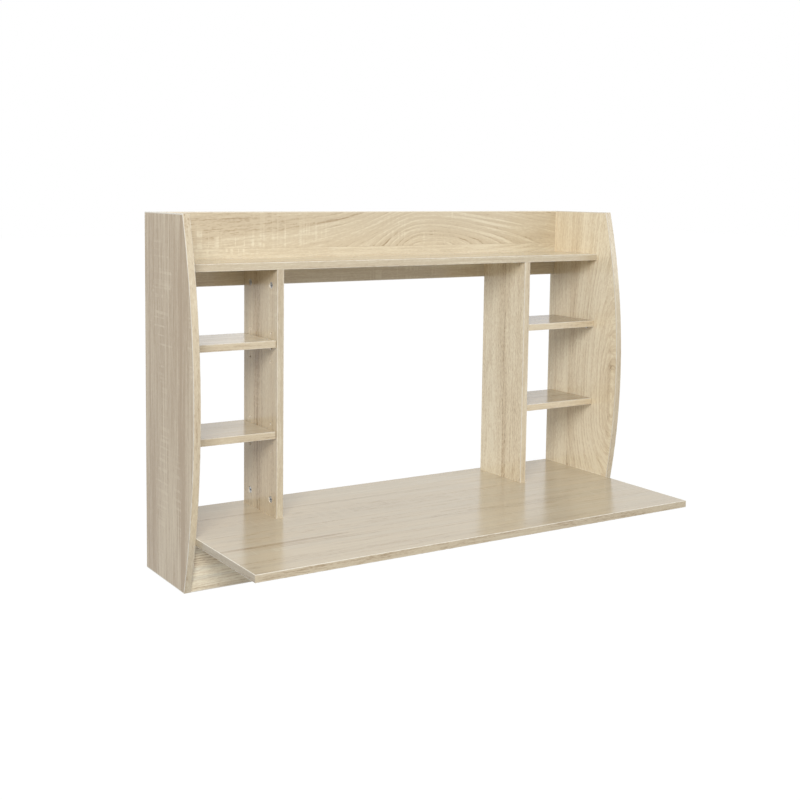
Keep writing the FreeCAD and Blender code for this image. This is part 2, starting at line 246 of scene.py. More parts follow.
# Layers of noise: waves per metre along the grain and across it, and where they aren't the usual
# ones also the octaves, their roughness and a shift that keeps the layer apart from the others.
# A layer with edges makes a mask, which goes from least to most between them
LAYERS = {
    # The heart, up and down and sideways
    "sway": {"waves": (2.3, 6.0), "detail": 1.0},
    "drift": {"waves": (1.7, 2.0), "detail": 0.0, "shift": 3.0},
    # How uneven each ring is, and where the rings are clear
    "ripple": {"waves": (9.0, 48.0)},
    "clear": {"waves": (5.0, 22.0), "detail": 1.0, "shift": 7.0, "edges": (-0.14, 0.12), "least": 0.25},
    # Streaks and fibres
    "broad": {"waves": (0.8, 21.0), "rough": 0.6},
    "medium": {"waves": (2.4, 78.0)},
    "fine": {"waves": (7.0, 230.0), "rough": 0.7},
    "hair": {"waves": (21.0, 560.0), "rough": 0.7},
    "fleck": {"waves": (110.0, 540.0), "rough": 0.7, "shift": 13.0},
    "pore": {"waves": (36.0, 620.0), "detail": 1.0, "edges": (0.07, 0.19)},
    # The stain's fringe
    "fringe": {"waves": (3.0, 30.0), "shift": 5.0},
    # Saw marks across the grain with gaps, finer ones along it, the edge of their dense patch and
    # faint patches elsewhere
    "bar": {"waves": (170.0, 3.0), "detail": 0.0, "shift": 6.0, "edges": (0.06, 0.17)},
    "gap": {"waves": (15.0, 62.0), "detail": 1.0, "shift": 2.0, "edges": (-0.22, 0.04)},
    "weft": {"waves": (9.0, 260.0), "detail": 1.0, "shift": 12.0, "edges": (0.02, 0.14), "most": 0.55},
    "patch": {"waves": (12.0, 30.0), "shift": 4.0},
    "stray": {"waves": (3.0, 9.0), "detail": 1.0, "shift": 8.0, "edges": (0.01, 0.16), "most": 0.6},
    # Slow changes of tone, and weathered fibres
    "cloud": {"waves": (2.0, 4.5), "shift": 9.0},
    "weathered": {"waves": (1.3, 33.0), "shift": 11.0, "edges": (-0.10, 0.14), "least": 0.2},
}
USUAL_LAYER = {"detail": 2.0, "rough": 0.55, "shift": 0.0, "least": 0.0, "most": 1.0}
SPOT_EDGES = (0.45, 1.15)       # where a spot ends, in parts of its length and width

# What sets one plank's chance, layer of noise and years apart from the next one's
PLANK_CHANCE = 7.31
PLANK_LAYER = 0.37
PLANK_YEARS = 3.7
SEED_LAYER = 0.11
HEART_SPREAD = (1.6, 0.26)      # how far the other planks' hearts lie apart, along and across

SINK = 6.25                     # how soon the heart sinks on both sides of its highest spot,
LOPSIDED = -4.4                 # later ahead of it along the grain, and sooner behind it,
SINK_BEND = 0.1                 # how softly one side turns into the other,
SINK_RUN = 0.5                  # and how far it goes on at most, in parts of the reach
SWAY = 0.032                    # metres by which the heart strays up and down, and sideways,
DRIFT = 0.03
RIPPLE = 0.0040                 # and by which the rings ripple

RING_FADE = 1.7                 # how soon a ring's dark line fades outwards
RING_RISE = (0.80, 1.0)         # where in a ring the next line begins
RING_MEAN = 0.40                # mean darkness of a ring, taken off so that rings don't darken a board
RING_END = (0.55, 1.1)          # where the rings end, in parts of the reach, and what stays of them
RING_REST = 0.12
YEARS_PER_METRE = 70.0          # good and bad years: how often, and how far they move the rings
YEARS_SPREAD = 2.2
# How strong the rings are in bad years and in good ones
GOOD_YEARS = {"low": 0.3, "high": 0.7, "start": 0.5, "end": 1.2}
OTHER_RINGS = -0.55             # how much fainter the rings are on the other planks

STREAKS = {"broad": 0.80, "medium": 0.60, "fine": 0.95, "hair": 0.70}
BROAD_SHARE = 0.8               # pale fibres are those of the medium layer and this much of the broad
# Pores are fewer in pale fibres
OPEN_GRAIN = {"low": -0.10, "high": 0.10, "start": 1.0, "end": 0.25}
STAIN_RAGGED = {"medium": 2.6, "fringe": 2.0}      # what makes the edges of the spots ragged
SAW_RAGGED = 3.0
SHADE_WIDTH = 0.04
# How dark the line between two planks is, from its middle outwards
JOINT_LINE = {"low": 0.0003, "high": 0.0014, "start": 0.20, "end": 0.0}

# A tone of 0 is the darkest streaks and 1 the palest fibres, and this is what adds to it
TONE_MIDDLE = 0.56
TONE_OF = {"chance": 0.16, "cloud": 0.36, "shade": -0.30, "rings": -0.50, "pores": -0.20,
           "stain": -0.30, "saw marks": 0.22}
BROWN_TONES = (-0.05, 0.5)      # brown turns into middle, and middle into pale
PALE_TONES = (0.5, 1.05)
# What makes the pressed-in relief, and the cloud's share in the haze that varies the roughness
RELIEF_OF = {"pores": -1.0, "fine": 0.5, "rings": -0.3}
HAZE_CLOUD = 0.8

# A plank that is wider than the desk, with its joints outside, so that none shows
ONE_PLANK = {"Joint": 5.0, "Plank": 20.0}


class OakPrint:
    """Draws the printed oak in its group. A point lies along the grain, across it and through
    the board."""

    def __init__(self, net, inputs):
        self.net = net
        self.inputs = inputs
        self.along, self.across, self.through = net.split(inputs["Vector"])
        self.lay_planks()
        self.own = self.layered(self.across)

    def lay_planks(self):
        """Planks lie side by side across the grain, and each has its own place in the log."""
        net, inputs = self.net, self.inputs
        slanted = net.sum(self.across, net.product(self.along, inputs["Skew"]))
        place = net.ratio(net.less(slanted, inputs["Joint"]), inputs["Plank"])
        self.plank = net.math("FLOOR", place)
        self.share = net.math("FRACT", place)
        self.other = net.math("MINIMUM", net.math("ABSOLUTE", self.plank), 1.0)
        number = net.sum(net.product(self.plank, PLANK_CHANCE), inputs["Seed"])
        chance = net.add("ShaderNodeTexWhiteNoise", {"W": number}, noise_dimensions="1D")
        draws = net.add("ShaderNodeSeparateColor", {0: chance.outputs["Color"]}).outputs
        self.luck, sideways = (net.less(draw, 0.5) for draw in draws[:2])
        spread_along, spread_across = HEART_SPREAD
        middle = net.sum(inputs["Joint"], net.product(net.sum(self.plank, 0.5), inputs["Plank"]))
        self.heart_along = net.sum(inputs["Heart along"],
                                   net.product(self.other, self.luck, spread_along))
        self.heart_across = net.between(self.other, inputs["Heart across"],
                                        net.sum(middle, net.product(sideways, spread_across)))

    def layered(self, across):
        """The point, in a layer of the noise that belongs to its plank and seed."""
        net = self.net
        layer = net.sum(self.through, net.product(self.plank, PLANK_LAYER),
                        net.product(self.inputs["Seed"], SEED_LAYER))
        return net.join(self.along, across, layer)

    def wander(self, name, vector=None):
        """A layer of noise, drawn out along the grain, of mean 0."""
        layer = {**USUAL_LAYER, **LAYERS[name]}
        along, across = layer["waves"]
        shift = layer["shift"]
        place = self.net.stretched(self.own if vector is None else vector, (along, across, across),
                                   (shift, shift, 0.0))
        return self.net.less(self.net.noise(place, detail=layer["detail"], rough=layer["rough"]), 0.5)

    def mask(self, name, vector=None):
        """A layer of noise as a mask with soft edges."""
        layer = {**USUAL_LAYER, **LAYERS[name]}
        low, high = layer["edges"]
        return self.net.step(self.wander(name, vector), low, high, layer["least"], layer["most"])

    def spot(self, name, ragged):
        """1 inside the oval that four inputs set, with a ragged edge, and 0 outside."""
        net, inputs = self.net, self.inputs
        u = net.ratio(net.less(self.along, inputs[name + " along"]), inputs[name + " length"])
        v = net.ratio(net.less(self.across, inputs[name + " across"]), inputs[name + " width"])
        return net.step(net.sum(net.hypotenuse(u, v), ragged), *SPOT_EDGES, start=1.0, end=0.0)

    def shells(self):
        """Growth rings are shells round the log's heart, which sinks away on both sides of one spot,
        so that they show as arches. Returns the distance from that spot along the grain, as a part of
        the reach, and the distance from the heart."""
        net, inputs = self.net, self.inputs
        reach = net.ratio(net.less(self.along, self.heart_along), inputs["Reach"])
        side = net.ratio(reach, net.math("SQRT", net.sum(net.product(reach, reach), SINK_BEND)))
        square = net.product(reach, reach, net.sum(SINK, net.product(side, LOPSIDED)))
        run = net.product(net.ratio(square, net.sum(square, 1.0)), inputs["Reach"], SINK_RUN)
        rise = net.sum(inputs["Heart depth"], net.product(run, inputs["Slope"]),
                       net.product(self.wander("sway"), SWAY), self.through)
        aside = net.sum(net.less(self.across, self.heart_across),
                        net.product(self.wander("drift"), DRIFT), net.product(run, inputs["Droop"]))
        radius = net.sum(net.hypotenuse(aside, rise), net.product(self.wander("ripple"), RIPPLE))
        return reach, radius

    def rings(self, reach, radius):
        """Darkness of the rings, of mean 0."""
        net, inputs = self.net, self.inputs
        years = net.noise(net.join(net.product(radius, YEARS_PER_METRE),
                                   net.product(self.plank, PLANK_YEARS), inputs["Seed"]), detail=1.0)
        phase = net.math("FRACT", net.sum(net.ratio(radius, inputs["Ring"]),
                                          net.product(years, YEARS_SPREAD)))
        fading = net.math("POWER", net.less(1.0, phase), RING_FADE)
        dark = net.math("MAXIMUM", fading, net.step(phase, *RING_RISE))
        near = net.step(net.math("ABSOLUTE", reach), *RING_END, start=1.0, end=RING_REST)
        fainter = net.sum(1.0, net.product(self.other, OTHER_RINGS))
        return net.product(net.less(dark, RING_MEAN), near, self.mask("clear"),
                           net.step(years, **GOOD_YEARS), fainter)

    def fibres(self, radius):
        """The fine and the medium layer, all streaks together, and short pores. On the middle plank
        the fibres may bend with the rings."""
        net, inputs = self.net, self.inputs
        follow = net.product(net.less(1.0, self.other), inputs["Follow"])
        grain = self.layered(net.between(follow, self.across, radius))
        layers = {name: self.wander(name, grain) for name in STREAKS}
        streaks = net.sum(*(net.product(layers[name], share) for name, share in STREAKS.items()),
                          net.product(self.wander("fleck", grain), inputs["Flecks"]))
        paleness = net.sum(layers["medium"], net.product(layers["broad"], BROAD_SHARE))
        pores = net.product(self.mask("pore", grain), net.step(paleness, **OPEN_GRAIN))
        return layers["fine"], layers["medium"], streaks, pores

    def stain(self, medium):
        """Brown stain along a few fibres."""
        net = self.net
        ragged = net.sum(net.product(medium, STAIN_RAGGED["medium"]),
                         net.product(self.wander("fringe"), STAIN_RAGGED["fringe"]))
        return net.product(self.spot("Stain", ragged), self.inputs["Stain"])

    def saw_marks(self):
        """Pale marks of a frame saw: thin bars across the grain, dense in one patch, faint in others."""
        net = self.net
        patch = self.spot("Saw", net.product(self.wander("patch"), SAW_RAGGED))
        bars = net.product(self.mask("bar"), self.mask("gap"))
        weft = net.product(self.mask("weft"), patch)
        shown = net.math("MAXIMUM", patch, self.mask("stray"))
        return net.product(net.math("MAXIMUM", bars, weft), shown, self.inputs["Saw marks"])

    def joint_shade(self):
        """The middle plank's shade along its lower joint, or its upper one if the input is negative."""
        net, shade = self.net, self.inputs["Joint shade"]
        inside = net.product(self.share, self.inputs["Plank"])
        from_top = net.less(self.inputs["Plank"], inside)
        low = net.product(net.step(inside, 0.0, SHADE_WIDTH, start=1.0, end=0.0),
                          net.math("MAXIMUM", shade, 0.0))
        high = net.product(net.step(from_top, 0.0, SHADE_WIDTH, start=1.0, end=0.0),
                           net.math("MINIMUM", shade, 0.0))
        return net.product(net.less(low, high), net.less(1.0, self.other))

    def joint_line(self):
        """Thin dark line where two planks meet."""
        net = self.net
        nearest = net.math("MINIMUM", self.share, net.less(1.0, self.share))
        return net.step(net.product(nearest, self.inputs["Plank"]), **JOINT_LINE)

    def coloured(self, tone):
        """From brown through middle to pale, greyed along some fibres, and scaled by the lightness,
        which also carries painted light and shade.
        """
        net, inputs = self.net, self.inputs
        dark = net.blend(net.step(tone, *BROWN_TONES), inputs["Brown"], inputs["Middle"])
        lit = net.blend(net.step(tone, *PALE_TONES), dark, inputs["Pale"])
        grey = net.product(self.mask("weathered"), inputs["Grey"])
        tinted = net.blend(grey, lit, inputs["Weathered"], mode="MULTIPLY")
        scaled = net.add("ShaderNodeVectorMath", {0: tinted, "Scale": inputs["Lightness"]},
                         operation="SCALE")
        return scaled.outputs[0]


def oak_group(name):
    """Printed oak: planks, growth rings, fibres, a stain, pores and pale saw marks."""
    net, inputs, outputs = new_group(name, OAK_INPUTS, OAK_OUTPUTS)
    oak = OakPrint(net, inputs)
    reach, radius = oak.shells()
    rings = oak.rings(reach, radius)
    fine, medium, streaks, pores = oak.fibres(radius)
    cloud = oak.wander("cloud")
    plank_tone = net.sum(net.product(oak.luck, TONE_OF["chance"]), inputs["Other planks"])
    tone = net.sum(
        TONE_MIDDLE, inputs["Tone"],
        net.product(oak.other, plank_tone),
        net.product(streaks, inputs["Streaks"]),
        net.product(cloud, TONE_OF["cloud"]),
        net.product(oak.joint_shade(), TONE_OF["shade"]),
        net.product(rings, inputs["Figure"], TONE_OF["rings"]),
        net.product(pores, TONE_OF["pores"]),
        net.product(oak.stain(medium), TONE_OF["stain"]),
        net.product(oak.saw_marks(), TONE_OF["saw marks"]))
    net.put(outputs["Color"], oak.coloured(net.less(tone, oak.joint_line())))
    net.put(outputs["Pores"], net.sum(net.product(pores, RELIEF_OF["pores"]),
                                      net.product(fine, RELIEF_OF["fine"]),
                                      net.product(rings, RELIEF_OF["rings"])))
    net.put(outputs["Haze"], net.sum(fine, net.product(cloud, HAZE_CLOUD)))
    return net.tree


# ---------------------------------------------------------------- other surfaces

CHIPS_PER_METRE = 420.0
DUST_PER_METRE = 1100.0
DUST_UNEVEN_PER_METRE = 300.0
DUST_SHIFT = (0.004, 0.004, 0.004)
CHIP_SHARE = 0.6
DUST_SHARE = 0.4
# A chip's shade from its middle out to its edge
CHIP_GAP = {"low": 0.35, "high": 0.75, "start": 1.0, "end": 0.55}


def chipboard_group(name):
    """Pressed chips, as on a sawn edge that no strip covers."""
    net, inputs, outputs = new_group(name, {"Vector": NO_VECTOR, "Pale": WHITE, "Dark": WHITE},
                                     {"Color": WHITE, "Height": 0.0})
    place = inputs["Vector"]
    uneven = net.add("ShaderNodeTexNoise", {"Vector": place, "Scale": DUST_UNEVEN_PER_METRE})
    # Multiplied by a noise, the place makes bits of dust of uneven size
    dusty = net.stretched(place, uneven.outputs["Color"], DUST_SHIFT)
    large = net.add("ShaderNodeTexVoronoi", {"Vector": place, "Scale": CHIPS_PER_METRE}).outputs
    small = net.add("ShaderNodeTexVoronoi", {"Vector": dusty, "Scale": DUST_PER_METRE}).outputs
    chip = net.split(large["Color"])[0]
    dust = net.split(small["Color"])[1]
    mixed = net.sum(net.product(chip, CHIP_SHARE), net.product(dust, DUST_SHARE))
    height = net.product(mixed, net.step(large["Distance"], **CHIP_GAP))
    net.put(outputs["Color"], net.blend(height, inputs["Dark"], inputs["Pale"]))
    net.put(outputs["Height"], height)
    return net.tree


TRIM_FACING = (0.15, 0.40)      # how far a face turns to a strip's side before its core shows
RUBS_PER_METRE = 70.0
# How wide and how pale the trimmed edge, partly a painted highlight, is where it is rubbed less or more
TRIM_WIDTHS = {"low": 0.25, "high": 0.65, "start": 0.4, "end": 1.3}
TRIM_STRENGTHS = {"low": 0.2, "high": 0.6, "start": 0.7, "end": 1.0}


def trim_and_highlight_group(name):
    """Mask of a strip's pale core, which shows on its trimmed sides and rounded edges, where it is also
    a painted highlight.
    """
    net, inputs, outputs = new_group(name, {
        "Vector": NO_VECTOR, "Across": 0.0, "Facing across": 0.0, "Low": 0.0, "High": 1.0, "Trim": 0.001,
    }, {"Mask": 0.0})
    side = net.step(net.math("ABSOLUTE", inputs["Facing across"]), *TRIM_FACING)
    rubbed = net.noise(inputs["Vector"], scale=RUBS_PER_METRE, detail=3.0)
    width = net.product(inputs["Trim"], net.step(rubbed, **TRIM_WIDTHS))
    edge = net.math("MINIMUM", net.less(inputs["Across"], inputs["Low"]),
                    net.less(inputs["High"], inputs["Across"]))
    # A band on the face along each edge: trimmed core and painted highlight
    trimmed = net.math("LESS_THAN", edge, width)
    net.put(outputs["Mask"], net.product(net.math("MAXIMUM", side, trimmed),
                                         net.step(rubbed, **TRIM_STRENGTHS)))
    return net.tree


TARNISH = (0.55, 0.54, 0.52, 1.0)
TARNISH_PER_METRE = 140.0
TARNISH_EDGES = (0.4, 0.7)
TARNISH_ROUGHNESS = 0.25        # how much rougher metal is where it is tarnished
GRAIN_ROUGHNESS = 0.2           # and how much its roughness follows the grain


def metal_group(name):
    """Fine uneven surface of a small metal fitting: its colour, roughness and relief."""
    net, inputs, outputs = new_group(name, {
        "Vector": NO_VECTOR, "Base": WHITE, "Roughness": 0.3, "Grain": 900.0, "Tarnish": 0.3,
    }, {"Color": WHITE, "Roughness": 0.0, "Height": 0.0})
    grain = net.noise(inputs["Vector"], scale=inputs["Grain"], detail=3.0)
    spots = net.noise(inputs["Vector"], scale=TARNISH_PER_METRE, detail=3.0)
    dull = net.product(net.step(spots, *TARNISH_EDGES), inputs["Tarnish"])
    darker = net.blend(1.0, inputs["Base"], TARNISH, mode="MULTIPLY")
    net.put(outputs["Color"], net.blend(dull, inputs["Base"], darker))
    net.put(outputs["Roughness"], net.sum(inputs["Roughness"],
                                          net.product(net.less(grain, 0.5), GRAIN_ROUGHNESS),
                                          net.product(dull, TARNISH_ROUGHNESS)))
    net.put(outputs["Height"], grain)
    return net.tree


# ---------------------------------------------------------------- materials

def opaque(rgb):
    return (*rgb, 1.0)


def new_material(name, view_colour):
    """A material, its net and its shader."""
    material = bpy.data.materials.new(name)
    material.use_nodes = True
    material.diffuse_color = opaque(view_colour)
    return material, Net(material.node_tree), material.node_tree.nodes["Principled BSDF"]


def decor_vector(net, coordinates, layout, node):
    """Object coordinates as along the grain, across it and through the board from its middle."""
    axes = net.split(coordinates["Object"])
    along, across, through = ("xyz".index(letter) for letter in layout)
    low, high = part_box(node)
    middle = (low[through] + high[through]) / 2
    return net.join(axes[along], axes[across], net.less(axes[through], middle))


def oak_nodes(net, vector, settings, decor):
    """The printed oak group with one board's own values."""
    inputs = {
        "Vector": vector, "Plank": settings.plank, "Ring": settings.ring,
        "Pale": opaque(settings.pale), "Middle": opaque(settings.middle),
        "Brown": opaque(settings.brown), "Weathered": opaque(settings.weathered),
    }
    return place_group(net, "Printed oak", oak_group, {**inputs, **decor})


HAZE_ROUGHNESS = 0.10


def laminate_finish(net, shader, settings, haze, surface, height):
    """Semi-gloss, a little uneven, with pressed-in pores."""
    net.put(shader.inputs["Base Color"], surface)
    net.put(shader.inputs["Roughness"], net.sum(settings.gloss, net.product(haze, HAZE_ROUGHNESS)))
    bump = net.add("ShaderNodeBump", {"Height": height, "Strength": 1.0, "Distance": settings.emboss})
    net.put(shader.inputs["Normal"], bump.outputs[0])


FACE_EDGES = (0.80, 0.92)       # how straight a surface faces out before it is laminate
CHIP_RELIEF = 6.0               # how much deeper the relief of chipboard is than that of laminate


def board_material(node, layout, decor):
    """Laminate on a board's two faces and bare chipboard on its edges and in its holes, whose pale chips
    are also painted light in the holes.
    """
    settings = bpy.context.scene.oak_settings
    material, net, shader = new_material("oak " + node.replace("_", " "), settings.middle)
    coordinates = net.add("ShaderNodeTexCoord").outputs
    oak = oak_nodes(net, decor_vector(net, coordinates, layout, node), settings, decor)
    chips = place_group(net, "Chipboard core", chipboard_group, {
        "Vector": coordinates["Object"], "Pale": opaque(settings.pale_chips_and_painted_light),
        "Dark": opaque(settings.dark_chips_and_painted_light)})
    facing = net.math("ABSOLUTE", net.split(coordinates["Normal"])["xyz".index(layout[2])])
    face = net.step(facing, *FACE_EDGES)
    surface = net.blend(face, chips["Color"], oak["Color"])
    relief = net.between(face, net.product(chips["Height"], CHIP_RELIEF), oak["Pores"])
    laminate_finish(net, shader, settings, oak["Haze"], surface, relief)
    return material


def strip_material(node, layout, decor):
    """Printed edging strip whose pale core shows along both edges, partly as a painted highlight."""
    settings = bpy.context.scene.oak_settings
    material, net, shader = new_material("strip " + node.replace("_", " "), settings.pale)
    coordinates = net.add("ShaderNodeTexCoord").outputs
    vector = decor_vector(net, coordinates, layout, node)
    oak = oak_nodes(net, vector, settings, decor)
    across = "xyz".index(layout[1])
    low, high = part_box(node)
    edge = place_group(net, "Trimmed core and painted highlight", trim_and_highlight_group, {
        "Vector": vector, "Across": net.split(coordinates["Object"])[across],
        "Facing across": net.split(coordinates["Normal"])[across],
        "Low": low[across], "High": high[across], "Trim": settings.trim})
    surface = net.blend(edge["Mask"], oak["Color"], opaque(settings.core))
    laminate_finish(net, shader, settings, oak["Haze"], surface, oak["Pores"])
    return material


def metal_material(name, base, roughness, grain, tarnish, relief):
    """A fitting's metal. Grain is in waves per metre, and relief in metres."""
    material, net, shader = new_material(name, base)
    metal = place_group(net, "Fitting metal", metal_group, {
        "Vector": net.add("ShaderNodeTexCoord").outputs["Object"], "Base": opaque(base),
        "Roughness": roughness, "Grain": grain, "Tarnish": tarnish})
    net.put(shader.inputs["Base Color"], metal["Color"])
    net.put(shader.inputs["Roughness"], metal["Roughness"])
    net.put(shader.inputs["Metallic"], 1.0)
    bump = net.add("ShaderNodeBump", {"Height": metal["Height"], "Distance": relief})
    net.put(shader.inputs["Normal"], bump.outputs[0])
    return material


BEECH_DECOR = {**ONE_PLANK, "Figure": 0.2, "Saw marks": 0.0}
BEECH_TINT = 0.8
BEECH_ROUGHNESS = 0.7


def beech_material(name, node):
    """Bare beech: the oak's fibres with faint rings and no saw marks, tinted."""
    scene = bpy.context.scene
    beech = opaque(scene.fitting_settings.beech)
    material, net, shader = new_material(name, scene.fitting_settings.beech)
    coordinates = net.add("ShaderNodeTexCoord").outputs
    vector = decor_vector(net, coordinates, LEVEL, node)
    grain = oak_nodes(net, vector, scene.oak_settings, BEECH_DECOR)
    net.put(shader.inputs["Base Color"], net.blend(BEECH_TINT, grain["Color"], beech, mode="MULTIPLY"))
    net.put(shader.inputs["Roughness"], BEECH_ROUGHNESS)
    return material


def dress(node, material):
    """Gives a CAD node its material."""
    slots = NODES[node].data.materials
    slots.clear()
    slots.append(material)
    for face in NODES[node].data.polygons:
        face.material_index = 0


# ---------------------------------------------------------------- pieces

# What each board sets of the printed oak's inputs
# Tone and lightness are partly a board's own tone, partly painted light and shade: whole boards made
# lighter or darker
SIDE_PANELS = {
    "left_side_panel": {
        "Seed": 3.0, "Joint": -0.319, "Joint shade": -0.7,
        "Heart along": -0.62, "Heart across": -0.03, "Heart depth": 0.08, "Slope": 0.12, "Figure": 0.4,
        "Streaks": 0.60, "Flecks": 0.6,
        "Stain along": -0.35, "Stain across": -0.180, "Stain length": 0.35, "Stain width": 0.012,
        "Stain": 0.7,
        "Saw along": -0.13, "Saw across": -0.085, "Saw length": 0.10, "Saw width": 0.05,
        "Saw marks": 0.8,
        "Tone": -0.34, "Lightness": 1.17},
    # Lighter by its Tone and Lightness: partly its own tone, partly painted light on its inner face
    "right_side_panel": {
        "Seed": 11.0, "Plank": 0.20, "Joint": -0.278, "Joint shade": -0.9,
        "Heart along": -0.37, "Heart across": -0.232, "Heart depth": 0.006, "Slope": 0.55,
        "Reach": 0.48, "Ring": 0.0090, "Figure": 0.95, "Follow": 0.75,
        "Streaks": 0.85, "Flecks": 1.5,
        "Stain along": -0.33, "Stain across": -0.224, "Stain length": 0.13, "Stain width": 0.007,
        "Stain": 0.8,
        "Saw along": -0.22, "Saw across": -0.12, "Saw length": 0.05,
        "Tone": 0.22, "Other planks": 0.12, "Lightness": 1.22},
}
DIVIDERS = {
    "left_divider": {
        "Seed": 5.0, "Joint": -0.090, "Joint shade": 0.5,
        "Heart along": -0.5, "Heart across": -0.09, "Heart depth": 0.05, "Figure": 0.5,
        "Streaks": 0.8, "Flecks": 1.5,
        "Stain along": -0.28, "Stain across": -0.080, "Stain length": 0.12, "Stain width": 0.010,
        "Stain": 0.25,
        "Saw along": -0.085, "Saw across": -0.05, "Saw marks": 0.8,
        "Tone": -0.05, "Grey": 0.4, "Lightness": 1.10},
    # Lighter by its Tone and Lightness: partly its own tone, partly painted light on its faces
    "right_divider": {
        "Seed": 8.0, "Joint": -0.098, "Joint shade": 0.6,
        "Heart along": -0.55, "Heart across": -0.05, "Heart depth": 0.05, "Figure": 0.6,
        "Streaks": 0.9, "Flecks": 2.1,
        "Stain along": -0.40, "Stain across": -0.102, "Stain length": 0.20, "Stain width": 0.008,
        "Stain": 0.8,
        "Saw along": -0.19, "Saw across": -0.085, "Saw length": 0.04,
        "Tone": 0.16, "Grey": 0.1, "Lightness": 1.22},
}
RAILS = {
    "top_back_rail": {
        "Seed": 2.0, "Joint": 0.0,
        "Heart along": 0.16, "Heart across": 0.004, "Heart depth": 0.003, "Slope": 0.50, "Droop": 0.25,
        "Reach": 0.44, "Ring": 0.0105, "Figure": 1.15, "Follow": 0.85,
        "Streaks": 0.80, "Flecks": 0.9,
        "Stain along": 0.47, "Stain across": 0.018, "Stain length": 0.05, "Stain width": 0.009,
        "Stain": 0.7,
        "Saw along": -0.36, "Saw across": 0.020, "Saw length": 0.13, "Saw width": 0.030,
        "Saw marks": 1.8,
        "Tone": 0.03, "Other planks": 0.12},
    "lower_back_rail": {
        "Seed": 21.0, "Joint": -0.60,
        "Heart along": 0.2, "Heart across": -0.64, "Figure": 0.8},
    # Its Lightness is partly painted light: it brightens the apron, which lies in the desktop's shade
    "front_apron": {
        "Seed": 14.0, "Plank": 0.2, "Joint": -0.67,
        "Heart along": -0.46, "Heart across": -0.632, "Heart depth": 0.004, "Slope": 0.22,
        "Reach": 0.30, "Ring": 0.0050, "Figure": 1.5,
        "Streaks": 1.2, "Saw marks": 0.3,
        "Tone": 0.02, "Grey": 2.0, "Lightness": 1.34},
}
SHELVES = {
    "top_shelf": {
        "Seed": 31.0, "Joint": -0.10, "Heart across": -0.06, "Figure": 0.5,
        "Grey": 0.3, "Lightness": 1.08},
    # Its Grey and Lightness paint a pale, bluish reflection of the white surround on its top
    "left_upper_shelf": {
        "Seed": 33.0, "Joint": -0.12, "Figure": 0.4, "Streaks": 0.7, "Saw marks": 0.5,
        "Grey": 2.0, "Lightness": 1.22},
    "left_lower_shelf": {
        "Seed": 35.0, "Joint": -0.09, "Figure": 0.4, "Streaks": 0.8, "Saw marks": 0.5,
        "Grey": 0.5, "Lightness": 0.97},
    # This shelf and the one below are darkened by Tone and Lightness: painted shade for the top shelf's
    # shadow on them
    "right_upper_shelf": {
        "Seed": 37.0, "Joint": -0.13, "Figure": 0.5, "Saw marks": 0.5,
        "Tone": -0.20, "Lightness": 0.76},
    "right_lower_shelf": {
        "Seed": 39.0, "Joint": -0.11, "Figure": 0.5, "Saw marks": 0.5,
        "Tone": -0.14, "Lightness": 0.83},
}
DESKTOP = {
    "desktop": {
        "Seed": 44.0, "Joint": -0.375, "Skew": 0.004,
        "Heart along": -0.2, "Heart across": -0.26, "Heart depth": 0.05, "Figure": 0.35,
        "Streaks": 0.65, "Flecks": 0.5,
        "Stain along": -0.38, "Stain across": -0.338, "Stain length": 0.17, "Stain width": 0.014,
        "Stain": 1.0,
        "Saw along": -0.46, "Saw across": -0.37, "Saw length": 0.05, "Saw marks": 0.9,
        "Tone": -0.06, "Grey": 0.40},
}

# Lightness of each edging strip, under the layout of its grain; partly its own tone, partly painted
# light and shade
STRIPS = {
    UPRIGHT_EDGE: {
        "left_side_front_edging": 1.0, "right_side_front_edging": 1.0,
        "left_divider_edging": 0.90, "right_divider_edging": 1.05},
    LEVEL_SIDE: {
        "left_side_top_edging": 1.0, "left_side_bottom_edging": 1.0,
        "right_side_top_edging": 1.0, "right_side_bottom_edging": 1.0},
    SIDE_EDGE: {
        "desktop_left_edging": 0.80, "desktop_right_edging": 0.85},
    UPRIGHT_FRONT: {
        "top_shelf_edging": 0.95, "left_upper_shelf_edging": 1.02, "left_lower_shelf_edging": 0.98,
        "right_upper_shelf_edging": 1.12, "right_lower_shelf_edging": 1.14,
        "desktop_front_edging": 0.98},
    LEVEL: {
        "top_back_rail_upper_edging": 1.0, "top_back_rail_lower_edging": 1.0,
        "front_apron_edging": 1.0, "lower_back_rail_edging": 1.0},
}
STRIP_DECOR = {**ONE_PLANK, "Figure": 0.2, "Saw marks": 0.2}
STRIP_SEED = 60.0       # seeds of the strips go up from here in steps
STRIP_SEED_STEP = 1.7


def finish_boards(boards, layout):
    for node, decor in boards.items():
        dress(node, board_material(node, layout, decor))
    return {"FINISHED"}


class WALLDESK_OT_side_panels(bpy.types.Operator):
    """Finish the two bowed side panels"""
    bl_idname = "walldesk.side_panels"
    bl_label = "Side panels"

    def execute(self, context):
        return finish_boards(SIDE_PANELS, UPRIGHT_SIDE)


class WALLDESK_OT_dividers(bpy.types.Operator):
    """Finish the two dividers"""
    bl_idname = "walldesk.dividers"
    bl_label = "Dividers"

    def execute(self, context):
        return finish_boards(DIVIDERS, UPRIGHT_SIDE)


class WALLDESK_OT_rails(bpy.types.Operator):
    """Finish the top back rail, the lower back rail and the apron"""
    bl_idname = "walldesk.rails"
    bl_label = "Rails and apron"

    def execute(self, context):
        return finish_boards(RAILS, UPRIGHT_FRONT)


class WALLDESK_OT_shelves(bpy.types.Operator):
    """Finish the top shelf and the four loose shelves"""
    bl_idname = "walldesk.shelves"
    bl_label = "Shelves"

    def execute(self, context):
        return finish_boards(SHELVES, LEVEL)


